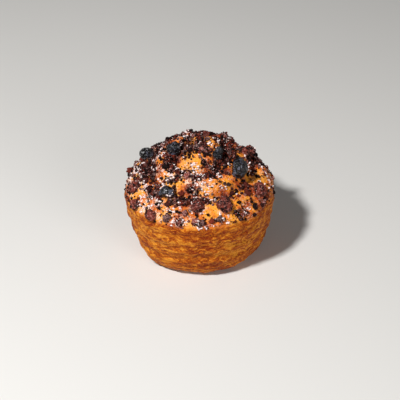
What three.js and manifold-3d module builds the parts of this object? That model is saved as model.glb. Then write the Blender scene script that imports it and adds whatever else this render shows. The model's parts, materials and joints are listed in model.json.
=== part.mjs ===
// A croissant swirl: laminated dough rolled into a spiral, baked in a tapered ring and topped
// with broken cookie. Millimetres, +Z up, X to the right and Y away from the side on show.
// The origin is the middle of the flat base.

import * as THREE from "three";
import { mergeVertices } from "three/addons/utils/BufferGeometryUtils.js";
import Module from "manifold-3d";

const TAU = 2 * Math.PI;

// The baked shape.
const RIM_RADIUS = 45; // widest, where the wall meets the domed top
const RIM_HEIGHT = 42.5;
const CROWN_RISE = 29.5; // from the rim up to the highest coil
const CROWN_FULLNESS = 1.6; // higher carries the crown further out before it falls
const CROWN_SHOULDER = 0.95; // lower makes the rim's shoulder squarer
const CROWN_TILT = 0.18; // the back rose more than the front, mm for each mm of Y
const LEAN = new THREE.Vector2(-1, 0); // middle of the rim from the middle of the base
const WALL_TAPER = 0.24; // radius lost for each mm below the shoulder
const SHOULDER_DROP = 8; // the wall stays upright this far below the rim
const SHOULDER_BLEND = 6;
const BASE_ROUND = 10.5; // radius of the edge between wall and base
const ROUND_ROWS = 0.28; // share of the wall's rows that this edge takes
const LAYER_RELIEF = 0.35;
const LAYER_PITCH = 9;

// Where the dough rose or sank out of line. The first is the knuckle where the roll ends.
const RISES = [
  { x: 39.8, y: 4.0, reach: 7, lift: 2.4 },
  { x: 40.2, y: 18.8, reach: 5, lift: -1.8 },
  { x: 29.5, y: 28.5, reach: 5, lift: 1.2 },
  { x: 21.8, y: 17.4, reach: 4.4, lift: -3.0 },
  { x: 14.5, y: 23.2, reach: 4.5, lift: 1.8 },
  { x: -2.0, y: 16.4, reach: 3.5, lift: -1.2 },
  { x: -8.0, y: 17.0, reach: 3.5, lift: 1.0 },
  { x: -21.7, y: 24.5, reach: 4.2, lift: -1.8 },
];

// The roll. Turns are counted along the spiral from the north side of the inner coil.
const GROOVE_START = 6.8; // groove radius at turn 0
const GROOVE_PITCH = 14.8; // dough thickness from one groove to the next
const RUNOUT_TURN = 1.5; // from here the groove swings out to the rim
const RUNOUT_RATE = 14;
const START_ANGLE = 0.25; // turn 0 lies a quarter turn from +X
const POLE = new THREE.Vector2(-3.4, 1.2); // middle of the roll from the middle of the rim
const GROOVE_DEPTH = 5.4;
const INNER_FLANK = 5.2; // how far a coil still falls toward its outer groove
const OUTER_FLANK = 8.2; // how far the next coil still rises from that groove
const GROOVE_FADE_IN = [-0.3, 0.05]; // turns over which the inner end opens
const GROOVE_FADE_OUT = 0.3; // turns over which the outer end closes
const KNOB_SINK = 4.4; // the innermost coil sits this far below the crown
const KNOB_RISE = [0.4, 1]; // turns over which the dough climbs back to the crown

// The broken cookie. Places on top are [degrees, radius] about the roll's pole.
const CHUNK_CLEARANCE = 0.45; // how far the dough is swollen before it is cut from a chunk
const CHUNK_RIDE = 0.1; // share of its height that a chunk's middle stands above the coils
const CHUNK_DETAIL = 1;
const CHUNK_SEED = 500;
const BLOCKINESS = 2.4; // 2 gives an egg, more gives a block with rounded edges
const CHUNK_ROUGHNESS = 0.16;
const BREAKS = 7; // flat faces where each chunk broke
const DARK_BREAKS = [0.66, 0.93]; // how far out they lie, as a share of its half size
const BROWN_BREAKS = [0.8, 1]; // the brown ones crumbled rounder
const CRUMB_ROUGHNESS = 0.4;
const DARK_CHUNKS = [
  { at: [157, 31.2], size: [8.6, 8.6, 9.4], heading: 0.7 },
  { at: [159, 12.4], size: [9.8, 8.4, 7.8], heading: 2.5 },
  { at: [343, 14.7], size: [6.4, 6.4, 7.8], heading: 1.4 },
  { at: [335.5, 27.9], size: [10.8, 11.8, 13.4], heading: 2.9 },
  { at: [238, 30.8], size: [10.2, 7.8, 7.6], heading: 2.5 },
  { at: [101, 38], size: [8.8, 7.6, 6.6], heading: 0.4 },
];
const BROWN_CHUNKS = [
  { at: [271, 35.8], size: [7.8, 7.6, 7.6], heading: 0.2 },
  { at: [296, 37.4], size: [9.8, 9.2, 8.8], heading: 2.2 },
  { at: [197, 38.0], size: [8.8, 7.2, 6.2], heading: 1.2 },
  { at: [212, 43.2], size: [7.0, 6.6, 6.2], heading: 0.5 },
  { at: [231, 43.8], size: [7.8, 6.6, 5.6], heading: 2.3 },
  { at: [338, 39.6], size: [9.2, 8.2, 6.8], heading: 1.7 },
  { at: [13, 29.8], size: [7.6, 7.2, 6.2], heading: 2.9 },
  { at: [60, 38.5], size: [9.2, 7.8, 6.6], heading: 0.9 },
  { at: [32, 38], size: [8.0, 7.0, 6.0], heading: 1.9 },
];
const LARGE_CRUMBS = [
  { at: [5, 2], radius: 2.2 },
  { at: [298, 11.8], radius: 1.9 },
  { at: [215, 19.9], radius: 2.3 },
  { at: [237, 24.4], radius: 1.7 },
  { at: [254, 27.3], radius: 1.8 },
  { at: [264, 26.5], radius: 1.8 },
  { at: [24, 33], radius: 2.4 },
  { at: [226, 32.3], radius: 2.0 },
  { at: [325, 36.6], radius: 2.0 },
  { at: [245, 43.2], radius: 2.3 },
  { at: [255, 44.2], radius: 1.5 },
  { at: [260, 39.7], radius: 1.9 },
  { at: [268, 42.8], radius: 2.0 },
  { at: [273, 43.4], radius: 1.6 },
  { at: [280, 42.9], radius: 1.4 },
  { at: [287, 42.4], radius: 2.1 },
  { at: [302, 42.3], radius: 1.7 },
  { at: [321, 42.7], radius: 1.8 },
];
const CRUMB_COUNT = 211;
const CRUMB_RADII = [1.1, 2.2];
const CRUMB_SKEW = 1.9; // higher leaves fewer large crumbs
const CRUMB_SINK = 0.15; // share of its radius that a crumb's middle stands above the dough
const CRUMB_GATHER = 1.3; // higher gathers more of them on the inner half of each coil
const CRUMB_GAP = 0.4; // kept between crumbs and chunks
const BARE_SHARE = 0.9; // share of the crumbs that is missing where the dough is bare
const BARE_ACROSS = [0.42, 0.6]; // how far across a coil its crumbs give out
const BARE_FRONT = [22, 2]; // y from which, coming forward, they do
const BARE_PATCHES = [
  { at: [259, 8.8], reach: 7.5 },
  { at: [349, 38], reach: 9 },
  { at: [312, 35], reach: 6 },
];

// Mesh density.
const STEPS_PER_TURN = 64;
const COIL_COLUMNS = 7;
const WALL_ROWS = 10;

const clamp01 = (x) => Math.min(1, Math.max(0, x));
const mix = (a, b, s) => a + (b - a) * s;
const smooth = (a, b, x) => {
  const s = clamp01((x - a) / (b - a));
  return s * s * (3 - 2 * s);
};

// Radius of the groove about the roll's pole, and the turns where it leaves and reaches a radius.
const grooveRadius = (turn) =>
  GROOVE_START + GROOVE_PITCH * turn + RUNOUT_RATE * Math.max(0, turn - RUNOUT_TURN) ** 2;
const FIRST_TURN = -GROOVE_START / GROOVE_PITCH;

function turnAtRadius(radius) {
  let low = FIRST_TURN;
  let high = 4;
  for (let i = 0; i < 50; i++) {
    const middle = (low + high) / 2;
    if (grooveRadius(middle) < radius) low = middle;
    else high = middle;
  }
  return low;
}

// The groove has a whole number of steps from the pole to the rim.
const GROOVE_STEPS = Math.round((turnAtRadius(RIM_RADIUS) - FIRST_TURN) * STEPS_PER_TURN);
const LAST_TURN = FIRST_TURN + GROOVE_STEPS / STEPS_PER_TURN;
const RADIUS_FIT = RIM_RADIUS / grooveRadius(LAST_TURN);
const grooveAt = (turn) => Math.min(RIM_RADIUS, Math.max(0, RADIUS_FIT * grooveRadius(turn)));

const angleAt = (turn) => TAU * (turn + START_ANGLE);

const grooveDepth = (turn) =>
  GROOVE_DEPTH *
  smooth(...GROOVE_FADE_IN, turn) *
  (1 - smooth(LAST_TURN - GROOVE_FADE_OUT, LAST_TURN, turn));

// The outline wanders a little off a true circle, and the rim off a flat one.
const rimWander = (angle) => 0.007 * Math.sin(2 * angle + 0.6) + 0.006 * Math.sin(3 * angle + 2.1);
const rimAt = (angle) => RIM_RADIUS * (1 + rimWander(angle));
const rimLift = (angle) => 0.7 * Math.sin(3 * angle + 0.8) - 0.5 * Math.sin(angle);

const riseAt = (x, y) =>
  RISES.reduce((sum, rise) => {
    const away = Math.hypot(x - rise.x, y - rise.y) / rise.reach;
    return sum + rise.lift * Math.exp(-(away ** 2));
  }, 0);

// The smooth crown that the tops of the coils touch, about the middle of the rim.
function crown(x, y) {
  const angle = Math.atan2(y, x);
  const share = Math.min(1, Math.hypot(x, y) / rimAt(angle));
  return (
    RIM_HEIGHT +
    CROWN_RISE * (1 - share ** CROWN_FULLNESS) ** CROWN_SHOULDER +
    CROWN_TILT * y * (1 - share ** 2) +
    rimLift(angle) * share ** 4 +
    riseAt(x, y)
  );
}

// Each coil but the innermost swells and sinks along its length.
const coilSwell = (turn) =>
  smooth(0.3, 1, turn) *
  (0.6 * Math.sin(TAU * 2.7 * turn + 3.46) + 0.35 * Math.sin(TAU * 6.3 * turn + 5.97));

const knobSink = (turn) => KNOB_SINK * (1 - smooth(...KNOB_RISE, turn));

// A point of the top with its grooves filled: turn runs along the spiral, across goes from the
// inner groove to the outer.
function coilPoint(turn, across) {
  const radius = mix(grooveAt(turn - 1), grooveAt(turn), across);
  const angle = angleAt(turn);
  const share = radius / RIM_RADIUS;
  const spread = 1 + rimWander(angle) * share ** 2;
  const x = radius * spread * Math.cos(angle) + POLE.x * (1 - share ** 4);
  const y = radius * spread * Math.sin(angle) + POLE.y * (1 - share ** 4);
  const sink = mix(knobSink(turn - 1), knobSink(turn), smooth(0, 0.6, across));
  const swell = coilSwell(turn) * Math.sin(Math.PI * across);
  return new THREE.Vector3(x + LEAN.x, y + LEAN.y, crown(x, y) - sink + swell);
}

const flank = (distance, reach) => (1 - clamp01(distance / reach)) ** 2;

function topPoint(turn, across) {
  const point = coilPoint(turn, across);
  const inner = grooveAt(turn - 1);
  const outer = grooveAt(turn);
  const radius = mix(inner, outer, across);
  if (inner > 0) point.z -= grooveDepth(turn - 1) * flank(radius - inner, OUTER_FLANK);
  if (outer < RIM_RADIUS) point.z -= grooveDepth(turn) * flank(outer - radius, INNER_FLANK);
  return point;
}

// The edges of the dough's layers ripple the side in low wavy ledges.
const layering = (angle, z) =>
  LAYER_RELIEF *
  Math.sin((TAU * z) / LAYER_PITCH + 1.3 * Math.sin(2 * angle + 1) + 0.8 * Math.sin(5 * angle));

// A point of the side: down goes from the rim, 0, to the edge of the flat base, 1.
function wallPoint(angle, down) {
  const rim = rimAt(angle);
  const top = crown(rim * Math.cos(angle), rim * Math.sin(angle));
  const radiusAt = (z) => {
    const below = RIM_HEIGHT - z - SHOULDER_DROP;
    const upright = (Math.hypot(SHOULDER_DROP, SHOULDER_BLEND) - SHOULDER_DROP) / 2;
    const lumps = 0.3 * Math.sin(5 * angle + 0.13 * z) + layering(angle, z);
    return (
      rim -
      WALL_TAPER * ((Math.hypot(below, SHOULDER_BLEND) + below) / 2 - upright) +
      lumps * smooth(0, 12, top - z)
    );
  };
  const slope = Math.atan(WALL_TAPER);
  const foot = BASE_ROUND * (1 - Math.sin(slope));
  const straight = clamp01(down / (1 - ROUND_ROWS));
  const turned = mix(slope, Math.PI / 2, clamp01((down - 1) / ROUND_ROWS + 1));
  const z = mix(top, foot, straight) - BASE_ROUND * (Math.sin(turned) - Math.sin(slope));
  const radius = radiusAt(Math.max(z, foot)) - BASE_ROUND * (Math.cos(slope) - Math.cos(turned));
  return new THREE.Vector3(
    radius * Math.cos(angle) + LEAN.x * (z / RIM_HEIGHT),
    radius * Math.sin(angle) + LEAN.y * (z / RIM_HEIGHT),
    z,
  );
}

// The whole skin as one closed mesh: a spiral strip from the pole to the rim, then the side
// and the base. A coil's outer edge and the next coil's inner edge are the same vertices.
function swirlGeometry() {
  const vertices = [];
  const triangles = [];
  const add = (point) => vertices.push(point.x, point.y, point.z) / 3 - 1;
  const face = (a, b, c) => {
    if (a !== b && b !== c && c !== a) triangles.push(a, b, c);
  };
  const quad = (a, b, c, d) => {
    face(a, b, c);
    face(a, c, d);
  };
  const turnOf = (step) => FIRST_TURN + step / STEPS_PER_TURN;

  const pole = add(topPoint(FIRST_TURN, 0));
  const groove = [pole];
  for (let step = 1; step <= GROOVE_STEPS; step++) groove.push(add(topPoint(turnOf(step), 1)));
  const rim = [groove[GROOVE_STEPS]];
  for (let i = 1; i < STEPS_PER_TURN; i++) rim.push(add(wallPoint(angleAt(turnOf(GROOVE_STEPS + i)), 0)));

  const innerEdge = (step) => (step < STEPS_PER_TURN ? pole : groove[step - STEPS_PER_TURN]);
  const outerEdge = (step) =>
    step <= GROOVE_STEPS ? groove[step] : rim[(step - GROOVE_STEPS) % STEPS_PER_TURN];
  const rowAt = (step) => {
    const [inner, outer] = [innerEdge(step), outerEdge(step)];
    const row = [inner];
    for (let i = 1; i < COIL_COLUMNS; i++)
      row.push(inner === outer ? inner : add(topPoint(turnOf(step), i / COIL_COLUMNS)));
    return [...row, outer];
  };
  let row = rowAt(0);
  for (let step = 1; step <= GROOVE_STEPS + STEPS_PER_TURN; step++) {
    const next = rowAt(step);
    for (let i = 0; i < COIL_COLUMNS; i++) quad(row[i], row[i + 1], next[i + 1], next[i]);
    row = next;
  }

  let ring = rim;
  for (let k = 1; k <= WALL_ROWS; k++) {
    const lower = rim.map((_, i) =>
      add(wallPoint(angleAt(turnOf(GROOVE_STEPS + i)), k / WALL_ROWS)),
    );
    ring.forEach((_, i) => {
      const j = (i + 1) % STEPS_PER_TURN;
      quad(ring[i], lower[i], lower[j], ring[j]);
    });
    ring = lower;
  }
  const base = add(new THREE.Vector3(0, 0, 0));
  ring.forEach((_, i) => face(ring[i], base, ring[(i + 1) % STEPS_PER_TURN]));

  return new THREE.BufferGeometry()
    .setAttribute("position", new THREE.Float32BufferAttribute(vertices, 3))
    .setIndex(triangles);
}

// A repeatable draw from 0 to 1 for each number and purpose.
const draw = (i, purpose) => {
  const wave = Math.sin(i * 12.9898 + purpose * 78.233) * 43758.5453;
  return wave - Math.floor(wave);
};

// The coil coordinates, turn and across, of a place on top.
function coilAt(angle, radius) {
  let turn = angle / TAU - START_ANGLE;
  turn += Math.ceil(FIRST_TURN - turn);
  while (grooveAt(turn) < Math.min(radius, RIM_RADIUS)) turn += 1;
  const inner = grooveAt(turn - 1);
  return [turn, clamp01((radius - inner) / (grooveAt(turn) - inner))];
}

// Where a place lies on the coils, above the grooves, and which way is out there.
function seat([degrees, radius]) {
  const point = coilPoint(...coilAt(THREE.MathUtils.degToRad(degrees), radius));
  return { point, out: outwardAt(point) };
}

function outwardAt(point) {
  const share = Math.hypot(point.x - LEAN.x, point.y - LEAN.y) / RIM_RADIUS;
  const tilt = (1.5 * share ** 2) / RIM_RADIUS / Math.max(share, 0.1);
  return new THREE.Vector3((point.x - LEAN.x) * tilt, (point.y - LEAN.y) * tilt, 1).normalize();
}

// A broken lump: a block with rounded edges, roughened, about its own middle.
function lumpGeometry(size, detail, roughness, seed) {
  const ball = new THREE.IcosahedronGeometry(1, detail);
  ball.deleteAttribute("normal");
  ball.deleteAttribute("uv");
  const lump = mergeVertices(ball);
  const position = lump.getAttribute("position");
  const vertex = new THREE.Vector3();
  const half = new THREE.Vector3(...size).multiplyScalar(0.5);
  for (let i = 0; i < position.count; i++) {
    vertex.fromBufferAttribute(position, i);
    const sum = vertex.toArray().reduce((total, c) => total + Math.abs(c) ** BLOCKINESS, 0);
    const rough = 1 + roughness * (draw(i, seed) - 0.5);
    vertex.multiplyScalar(rough * sum ** (-1 / BLOCKINESS)).multiply(half);
    position.setXYZ(i, vertex.x, vertex.y, vertex.z);
  }
  return lump;
}

const turnedTo = (out, heading) =>
  new THREE.Quaternion()
    .setFromUnitVectors(new THREE.Vector3(0, 0, 1), out)
    .multiply(new THREE.Quaternion().setFromAxisAngle(new THREE.Vector3(0, 0, 1), heading));

const wasm = await Module();
wasm.setup();

const toSolid = (geometry) =>
  new wasm.Manifold(
    new wasm.Mesh({
      numProp: 3,
      vertProperties: new Float32Array(geometry.getAttribute("position").array),
      triVerts: new Uint32Array(geometry.getIndex().array),
    }),
  );

// Only the largest shell is kept, so loose scraps go and sealed hollows are filled.
function toGeometry(solid) {
  const [largest] = solid.decompose().sort((a, b) => b.volume() - a.volume());
  const mesh = largest.getMesh();
  return new THREE.BufferGeometry()
    .setAttribute("position", new THREE.Float32BufferAttribute(mesh.vertProperties, 3))
    .setIndex(Array.from(mesh.triVerts));
}

// Takes the broken faces off a chunk. They are spread evenly round it, each at its own depth.
function broken(solid, { middle, turned, size }, depths, seed) {
  const golden = Math.PI * (3 - Math.sqrt(5));
  for (let k = 0; k < BREAKS; k++) {
    const height = 1 - (2 * k + 1) / BREAKS;
    const facing = new THREE.Vector3()
      .setFromCylindricalCoords(Math.sqrt(1 - height ** 2), k * golden + TAU * draw(k, seed), height)
      .divide(new THREE.Vector3(...size).multiplyScalar(0.5));
    const reach = mix(...depths, draw(k, seed + 1)) / facing.length();
    facing.normalize().applyQuaternion(turned);
    solid = solid.trimByPlane(facing.clone().negate().toArray(), -reach - facing.dot(middle));
  }
  return solid;
}

// The dough with its skin moved outward, to cut the undersides of the chunks.
function swollen(geometry, distance) {
  const grown = geometry.clone();
  grown.computeVertexNormals();
  const position = grown.getAttribute("position");
  const normal = grown.getAttribute("normal");
  for (let i = 0; i < position.count; i++)
    position.setXYZ(
      i,
      position.getX(i) + distance * normal.getX(i),
      position.getY(i) + distance * normal.getY(i),
      position.getZ(i) + distance * normal.getZ(i),
    );
  return grown;
}

// The large crumbs have places of their own. The rest lie on a sunflower pattern, away from
// chunks and large crumbs. They are thinned out on the outer half of the coils, except at the
// back, and over the bare patches.
function crumbSpots(chunks) {
  const spotAt = (turn, across, radius, seed) => {
    const point = topPoint(turn, across);
    const out = outwardAt(point);
    return { point: point.addScaledVector(out, radius * CRUMB_SINK), out, radius, seed };
  };
  const spots = LARGE_CRUMBS.map(({ at: [degrees, place], radius }, i) =>
    spotAt(...coilAt(THREE.MathUtils.degToRad(degrees), place), radius, CRUMB_COUNT + i),
  );
  const taken = [
    ...chunks.map(({ middle, reach }) => ({ middle, reach })),
    ...spots.map(({ point, radius }) => ({ middle: point, reach: radius })),
  ];
  const golden = Math.PI * (3 - Math.sqrt(5));
  const bare = BARE_PATCHES.map(({ at, reach }) => ({ middle: seat(at).point, reach }));
  for (let i = 0; i < CRUMB_COUNT; i++) {
    const place = RIM_RADIUS * Math.sqrt((i + 0.5) / CRUMB_COUNT);
    const [turn, across] = coilAt(i * golden, place);
    const radius = mix(...CRUMB_RADII, draw(i, 1) ** CRUMB_SKEW);
    const spot = spotAt(turn, across ** CRUMB_GATHER, radius, i);
    const within = ({ middle, reach }) => spot.point.distanceTo(middle) < reach;
    const blocked = taken.some(({ middle, reach }) =>
      within({ middle, reach: reach + radius + CRUMB_GAP }),
    );
    const swept = smooth(...BARE_ACROSS, across ** CRUMB_GATHER) * smooth(...BARE_FRONT, spot.point.y);
    const share = BARE_SHARE * (bare.some(within) ? 1 : swept);
    if (!blocked && draw(i, 2) >= share) spots.push(spot);
  }
  return spots;
}

const dough = swirlGeometry();

const chunkSeats = [...DARK_CHUNKS, ...BROWN_CHUNKS].map(({ at, size, heading }) => {
  const { point, out } = seat(at);
  const middle = point.addScaledVector(out, CHUNK_RIDE * size[2]);
  return { middle, turned: turnedTo(out, heading), size, reach: Math.max(...size) / 2 };
});

let baked = toSolid(dough);
for (const { point, out, radius, seed } of crumbSpots(chunkSeats)) {
  const size = [2, 1.7, 1.5].map((share) => share * radius);
  const crumb = lumpGeometry(size, 0, CRUMB_ROUGHNESS, seed);
  crumb.applyQuaternion(turnedTo(out, TAU * draw(seed, 3)));
  baked = baked.add(toSolid(crumb.translate(point.x, point.y, point.z)));
}

const bakedDough = new THREE.MeshStandardMaterial({ color: 0xc98238, roughness: 0.55, metalness: 0 });
const darkCookie = new THREE.MeshStandardMaterial({ color: 0x1d1a1c, roughness: 0.6, metalness: 0 });
const brownCookie = new THREE.MeshStandardMaterial({ color: 0x3b1c16, roughness: 0.75, metalness: 0 });

const model = new THREE.Group();
const swirl = new THREE.Mesh(toGeometry(baked), bakedDough);
swirl.name = "croissant";
model.add(swirl);

const cutter = toSolid(swollen(dough, CHUNK_CLEARANCE));
chunkSeats.forEach((seated, i) => {
  const { middle, turned, size } = seated;
  const lump = lumpGeometry(size, CHUNK_DETAIL, CHUNK_ROUGHNESS, CHUNK_SEED + i);
  lump.applyQuaternion(turned).translate(middle.x, middle.y, middle.z);
  const dark = i < DARK_CHUNKS.length;
  const depths = dark ? DARK_BREAKS : BROWN_BREAKS;
  const chunk = new THREE.Mesh(
    toGeometry(broken(toSolid(lump), seated, depths, CHUNK_SEED + i).subtract(cutter)),
    dark ? darkCookie : brownCookie,
  );
  chunk.name = dark ? `dark_chunk_${i + 1}` : `brown_chunk_${i + 1 - DARK_CHUNKS.length}`;
  model.add(chunk);
});

export default model;
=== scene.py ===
"""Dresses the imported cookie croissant: baked laminated dough, broken cookie, crumbs and sugar.

The croissant's own formulas are in millimetres, as its solid was modelled. What reaches Blender
is in metres.
"""

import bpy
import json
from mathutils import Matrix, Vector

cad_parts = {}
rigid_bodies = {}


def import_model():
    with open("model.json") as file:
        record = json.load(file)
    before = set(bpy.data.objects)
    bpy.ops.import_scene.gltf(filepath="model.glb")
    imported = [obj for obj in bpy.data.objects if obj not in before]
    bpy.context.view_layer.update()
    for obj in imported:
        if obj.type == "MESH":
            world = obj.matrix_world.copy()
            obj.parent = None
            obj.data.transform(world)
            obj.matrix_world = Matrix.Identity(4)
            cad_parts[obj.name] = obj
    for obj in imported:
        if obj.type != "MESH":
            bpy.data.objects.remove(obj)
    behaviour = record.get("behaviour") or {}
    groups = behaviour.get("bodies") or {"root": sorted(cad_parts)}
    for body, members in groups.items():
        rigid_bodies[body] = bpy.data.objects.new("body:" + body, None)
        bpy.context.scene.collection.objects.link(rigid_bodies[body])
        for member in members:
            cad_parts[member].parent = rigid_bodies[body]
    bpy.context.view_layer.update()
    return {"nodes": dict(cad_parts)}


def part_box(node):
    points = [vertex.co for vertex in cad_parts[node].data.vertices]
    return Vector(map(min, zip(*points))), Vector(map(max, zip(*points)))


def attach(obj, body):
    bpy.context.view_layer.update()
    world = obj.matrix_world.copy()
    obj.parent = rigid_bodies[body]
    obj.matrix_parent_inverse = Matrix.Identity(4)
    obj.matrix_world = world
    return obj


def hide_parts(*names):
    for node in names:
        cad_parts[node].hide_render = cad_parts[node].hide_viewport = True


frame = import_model()

import json
import math

import bpy
import numpy as np
from bpy.props import FloatProperty, FloatVectorProperty, IntProperty, PointerProperty
from mathutils import Quaternion, Vector, noise
from mathutils.bvhtree import BVHTree
from mathutils.kdtree import KDTree

bl_info = {
    "name": "Cookie croissant",
    "version": (1, 0, 0),
    "blender": (4, 5, 0),
    "location": "3D View > Sidebar > Pastry",
    "description": "Baked dough, broken cookie, crumbs and sugar around a packed croissant swirl",
    "category": "Object",
}

MM = 0.001
TAU = 2 * math.pi
PANEL_TAB = "Pastry"

# The baked shape, millimetres, as the solid has it.
RIM_RADIUS = 45.0
RIM_HEIGHT = 42.5
CROWN_RISE = 29.5
CROWN_FULLNESS = 1.6
CROWN_SHOULDER = 0.95
CROWN_TILT = 0.18
LEAN = np.array([-1.0, 0.0])
WALL_TAPER = 0.24
SHOULDER_DROP = 8.0
SHOULDER_BLEND = 6.0
BASE_ROUND = 10.5
ROUND_ROWS = 0.28
LAYER_RELIEF = 0.35
LAYER_PITCH = 9.0
RISES = [  # (x, y), reach, lift
    ((39.8, 4.0), 7.0, 2.4), ((40.2, 18.8), 5.0, -1.8), ((29.5, 28.5), 5.0, 1.2),
    ((21.8, 17.4), 4.4, -3.0), ((14.5, 23.2), 4.5, 1.8), ((-2.0, 16.4), 3.5, -1.2),
    ((-8.0, 17.0), 3.5, 1.0), ((-21.7, 24.5), 4.2, -1.8),
]

# The roll, counted in turns along the spiral.
GROOVE_START = 6.8
GROOVE_PITCH = 14.8
RUNOUT_TURN = 1.5
RUNOUT_RATE = 14.0
START_ANGLE = 0.25
POLE = np.array([-3.4, 1.2])
GROOVE_DEPTH = 5.4
INNER_FLANK = 5.2
OUTER_FLANK = 8.2
GROOVE_FADE_IN = (-0.3, 0.05)
GROOVE_FADE_OUT = 0.3
KNOB_SINK = 4.4
KNOB_RISE = (0.4, 1.0)
SOLID_STEPS = 64  # the solid's mesh steps in a turn

# The broken cookie: places on top are (degrees, radius) about the roll's pole.
CHUNK_RIDE = 0.1
CHUNK_SEATS = [  # place, size
    ((157, 31.2), (8.6, 8.6, 9.4)), ((159, 12.4), (9.8, 8.4, 7.8)), ((343, 14.7), (6.4, 6.4, 7.8)),
    ((335.5, 27.9), (10.8, 11.8, 13.4)), ((238, 30.8), (10.2, 7.8, 7.6)),
    ((101, 38), (8.8, 7.6, 6.6)), ((271, 35.8), (7.8, 7.6, 7.6)), ((296, 37.4), (9.8, 9.2, 8.8)),
    ((197, 38.0), (8.8, 7.2, 6.2)), ((212, 43.2), (7.0, 6.6, 6.2)), ((231, 43.8), (7.8, 6.6, 5.6)),
    ((338, 39.6), (9.2, 8.2, 6.8)), ((13, 29.8), (7.6, 7.2, 6.2)), ((60, 38.5), (9.2, 7.8, 6.6)),
    ((32, 38), (8.0, 7.0, 6.0)),
]
LARGE_CRUMBS = [  # place, radius
    ((5, 2), 2.2), ((298, 11.8), 1.9), ((215, 19.9), 2.3), ((237, 24.4), 1.7), ((254, 27.3), 1.8),
    ((264, 26.5), 1.8), ((24, 33), 2.4), ((226, 32.3), 2.0), ((325, 36.6), 2.0), ((245, 43.2), 2.3),
    ((255, 44.2), 1.5), ((260, 39.7), 1.9), ((268, 42.8), 2.0), ((273, 43.4), 1.6),
    ((280, 42.9), 1.4), ((287, 42.4), 2.1), ((302, 42.3), 1.7), ((321, 42.7), 1.8),
]
CRUMB_COUNT = 211
CRUMB_RADII = (1.1, 2.2)
CRUMB_SKEW = 1.9
CRUMB_SINK = 0.15
CRUMB_GATHER = 1.3
CRUMB_GAP = 0.4
BARE_SHARE = 0.9
BARE_ACROSS = (0.42, 0.6)
BARE_FRONT = (22, 2)
BARE_PATCHES = [((259, 8.8), 7.5), ((349, 38), 9.0), ((312, 35), 6.0)]

# Further places, with their reach: where loose crumbs lie thin or thick, and where sugar lies.
THIN_PATCHES = [
    ((292, 31), 5.0), ((316, 35), 7.0), ((283, 40), 5.5), ((205, 39), 5.0), ((180, 37), 4.5),
    ((22, 18), 4.0), ((353, 42), 5.5), ((4, 41), 4.5), ((281, 27), 3.5),
]
HEAPS = [((337, 17), 6.5), ((330, 8), 3.5), ((247, 23), 4.0), ((13, 34), 6.0), ((254, 15), 4.5)]
KNOB_FRONT = ((285, 6), 7.5)  # hardly any sugar there
SUGAR_PATCHES = [
    ((169, 19), 6.0), ((294, 5), 4.0), ((352, 36), 4.5), ((100, 15), 5.5), ((173, 35), 5.0),
    ((284, 30), 7.5), ((275, 15), 5.0), ((225, 40), 7.0), ((277, 25), 6.0),
]

# What is broken and strewn, in millimetres.
CRAG_TEXTURES = {  # kind, size, other settings
    "crags": ("VORONOI", 3.0, {}),
    "clods": ("VORONOI", 2.1, {}),
    "pits": ("CLOUDS", 0.9, {"noise_depth": 3}),
}
SETTLE = 0.7  # how far the chunks reach down to the dough
CRUMB_SEED = 4207
CRUMB_FORM = np.array([1.0, 0.87, 0.8])
CRUMB_STRETCH = (0.7, 1.2)
LARGE_SHAPES = 9
LARGE_GROWTH = 1.06  # so that each large crumb covers the solid's
CHUNK_CORE = 0.8  # share of a chunk's reach that crumbs keep out of
TOP_EDGE = (0.01, 0.05)  # share of the side over which the top ends
LANDING_REACH = 9.0
LOOSE_CRUMBS = [  # size, weight away from the cover, skew, ride, number of shapes, breaking
    ("medium", 0.02, 1.7, 0.45, 9,
     {"subdivisions": 2, "cuts": 4, "raggedness": 0.6, "weld": 0.17}),
    ("small", 0.03, 1.6, 0.35, 9,
     {"subdivisions": 1, "cuts": 3, "depth": (0.5, 0.8), "raggedness": 0.6}),
    ("fine", 0.16, 1.4, 0.3, 7,
     {"subdivisions": 1, "cuts": 3, "depth": (0.2, 0.5), "raggedness": 0.3, "weld": 0.12}),
]
SUGAR_SEED = 911
SUGAR_BLOCKS = [  # stretch, chamfer
    ((1.0, 0.8, 0.7), 0.22), ((1.0, 0.95, 0.6), 0.3), ((1.0, 0.65, 0.55), 0.16),
]
SUGAR_STRETCH = (0.7, 1.1)
SUGAR_RIDE = 0.35
CLUSTER_SPREAD = 0.9

# The stage, in metres apart from the sensor, which is in millimetres.
FLOOR_SIZE = 6
FLOOR_ROUGHNESS = 0.8
LAMPS = {"key": ((-0.44, -0.48, 0.88), 0.12), "front": ((0.6, -0.85, 0.4), 0.5)}  # place, size
LAMP_AIM = Vector((0, 0, 0.03))
VIEW_CENTRE = Vector((-0.67 * MM, 0, 30.9 * MM))
SENSOR_WIDTH = 36


def clamp01(x):
    return np.clip(x, 0.0, 1.0)


def mix(a, b, share):
    return a + (b - a) * share


def smooth(low, high, x):
    share = clamp01((x - low) / (high - low))
    return share * share * (3 - 2 * share)


# The form of the roll, the same as the solid's, on whole arrays of points.


def groove_radius(turn):
    return GROOVE_START + GROOVE_PITCH * turn + RUNOUT_RATE * np.maximum(0, turn - RUNOUT_TURN) ** 2


FIRST_TURN = -GROOVE_START / GROOVE_PITCH


def turn_at_radius(radius):
    low, high = FIRST_TURN, 4.0
    for _ in range(50):
        middle = (low + high) / 2
        if groove_radius(middle) < radius:
            low = middle
        else:
            high = middle
    return low


GROOVE_STEPS = round((turn_at_radius(RIM_RADIUS) - FIRST_TURN) * SOLID_STEPS)
LAST_TURN = FIRST_TURN + GROOVE_STEPS / SOLID_STEPS
RADIUS_FIT = RIM_RADIUS / groove_radius(LAST_TURN)


def groove_at(turn):
    return np.clip(RADIUS_FIT * groove_radius(turn), 0, RIM_RADIUS)


def angle_at(turn):
    return TAU * (turn + START_ANGLE)


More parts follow.
